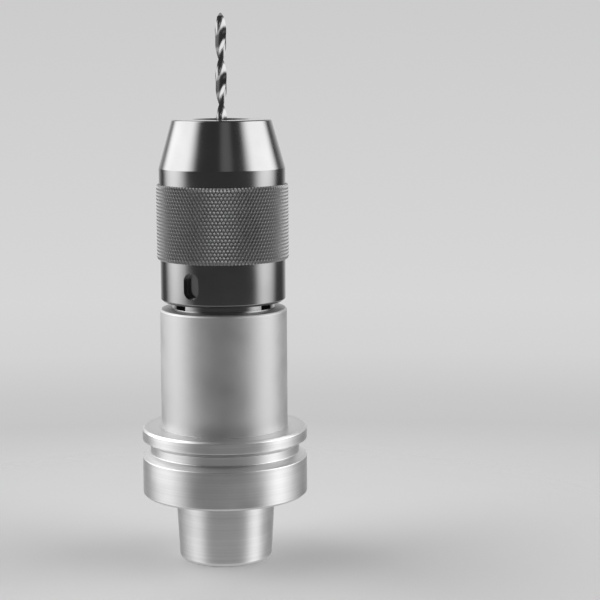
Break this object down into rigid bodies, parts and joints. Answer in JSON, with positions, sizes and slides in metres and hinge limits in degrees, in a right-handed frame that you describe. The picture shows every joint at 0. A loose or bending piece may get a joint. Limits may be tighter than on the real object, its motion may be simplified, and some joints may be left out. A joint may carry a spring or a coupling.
{
  "type": "drill chuck",
  "caption": "Keyless drill chuck on a hollow-taper spindle shank, with a knurled tightening sleeve, sliding jaws and a twist drill.",
  "frame": {"origin": "centre of the shank's gauge face, where the flange meets the hollow taper", "axes": "+Z along the spindle axis, from the shank towards the drill; -Y is the front, where the spanner slot is seen to the left"},
  "size_m": [0.063, 0.063, 0.2072],
  "materials": {
    "bearing_steel": "ground bearing steel",
    "black_knurl": "black oxide on a knurled surface",
    "black_oxide": "glossy black oxide on turned steel",
    "brass": "turned brass",
    "drill_steel": "bright ground high-speed steel",
    "felt": "grey felt",
    "hardened_steel": "hardened ground steel",
    "plug_steel": "dark turned steel",
    "seal_rubber": "black rubber",
    "shank_steel": "satin ground steel"
  },
  "bodies": {
    "shank": {"hsk_shank": "shank_steel", "slotted_ring": "black_oxide", "rear_plug": "plug_steel", "plug_seal": "seal_rubber", "retaining_nut": "hardened_steel", "nut_screw": "plug_steel", "upper_race": "bearing_steel"},
    "sleeve": {"spanner_ring": "black_oxide", "knurled_sleeve": "black_knurl", "hood": "black_oxide", "jaw_guide": "hardened_steel", "guide_pins": "bearing_steel", "lower_race": "bearing_steel", "dust_ring": "felt"},
    "bearing": {"ball_cage": "brass", "bearing_balls": "bearing_steel"},
    "screw": {"clamping_screw": "hardened_steel"},
    "jaw_1": {"jaw_1": "hardened_steel"},
    "jaw_2": {"jaw_2": "hardened_steel"},
    "jaw_3": {"jaw_3": "hardened_steel"},
    "drill": {"twist_drill": "drill_steel"}
  },
  "joints": [
    {"name": "sleeve_turn", "type": "hinge", "parent": "shank", "child": "sleeve", "pos_m": [0, 0, 0.08265], "axis": [0, 0, 1], "range_deg": [0, 1374]},
    {"name": "ball_roll", "type": "hinge", "parent": "shank", "child": "bearing", "pos_m": [0, 0, 0.07995], "axis": [0, 0, 1], "range_deg": [0, 687.5]},
    {"name": "screw_feed", "type": "slide", "parent": "sleeve", "child": "screw", "axis": [0, 0, -1], "range_m": [0, 0.01528]},
    {"name": "jaw_1_slide", "type": "slide", "parent": "sleeve", "child": "jaw_1", "axis": [0.2387, 0.1378, -0.9613], "range_m": [0, 0.01589]},
    {"name": "jaw_2_slide", "type": "slide", "parent": "sleeve", "child": "jaw_2", "axis": [-0.2387, 0.1378, -0.9613], "range_m": [0, 0.01589]},
    {"name": "jaw_3_slide", "type": "slide", "parent": "sleeve", "child": "jaw_3", "axis": [0, -0.2756, -0.9613], "range_m": [0, 0.01589]},
    {"name": "drill_draw", "type": "slide", "parent": "sleeve", "child": "drill", "axis": [0, 0, 1], "range_m": [0, 0.036]}
  ],
  "couplings": [
    {"joint": "screw_feed", "follows": "sleeve_turn", "m_per_rad": 0.00063662},
    {"joint": "ball_roll", "follows": "sleeve_turn", "ratio": 0.5},
    {"joint": "jaw_1_slide", "follows": "sleeve_turn", "m_per_rad": 0.00066228},
    {"joint": "jaw_2_slide", "follows": "sleeve_turn", "m_per_rad": 0.00066228},
    {"joint": "jaw_3_slide", "follows": "sleeve_turn", "m_per_rad": 0.00066228}
  ]
}
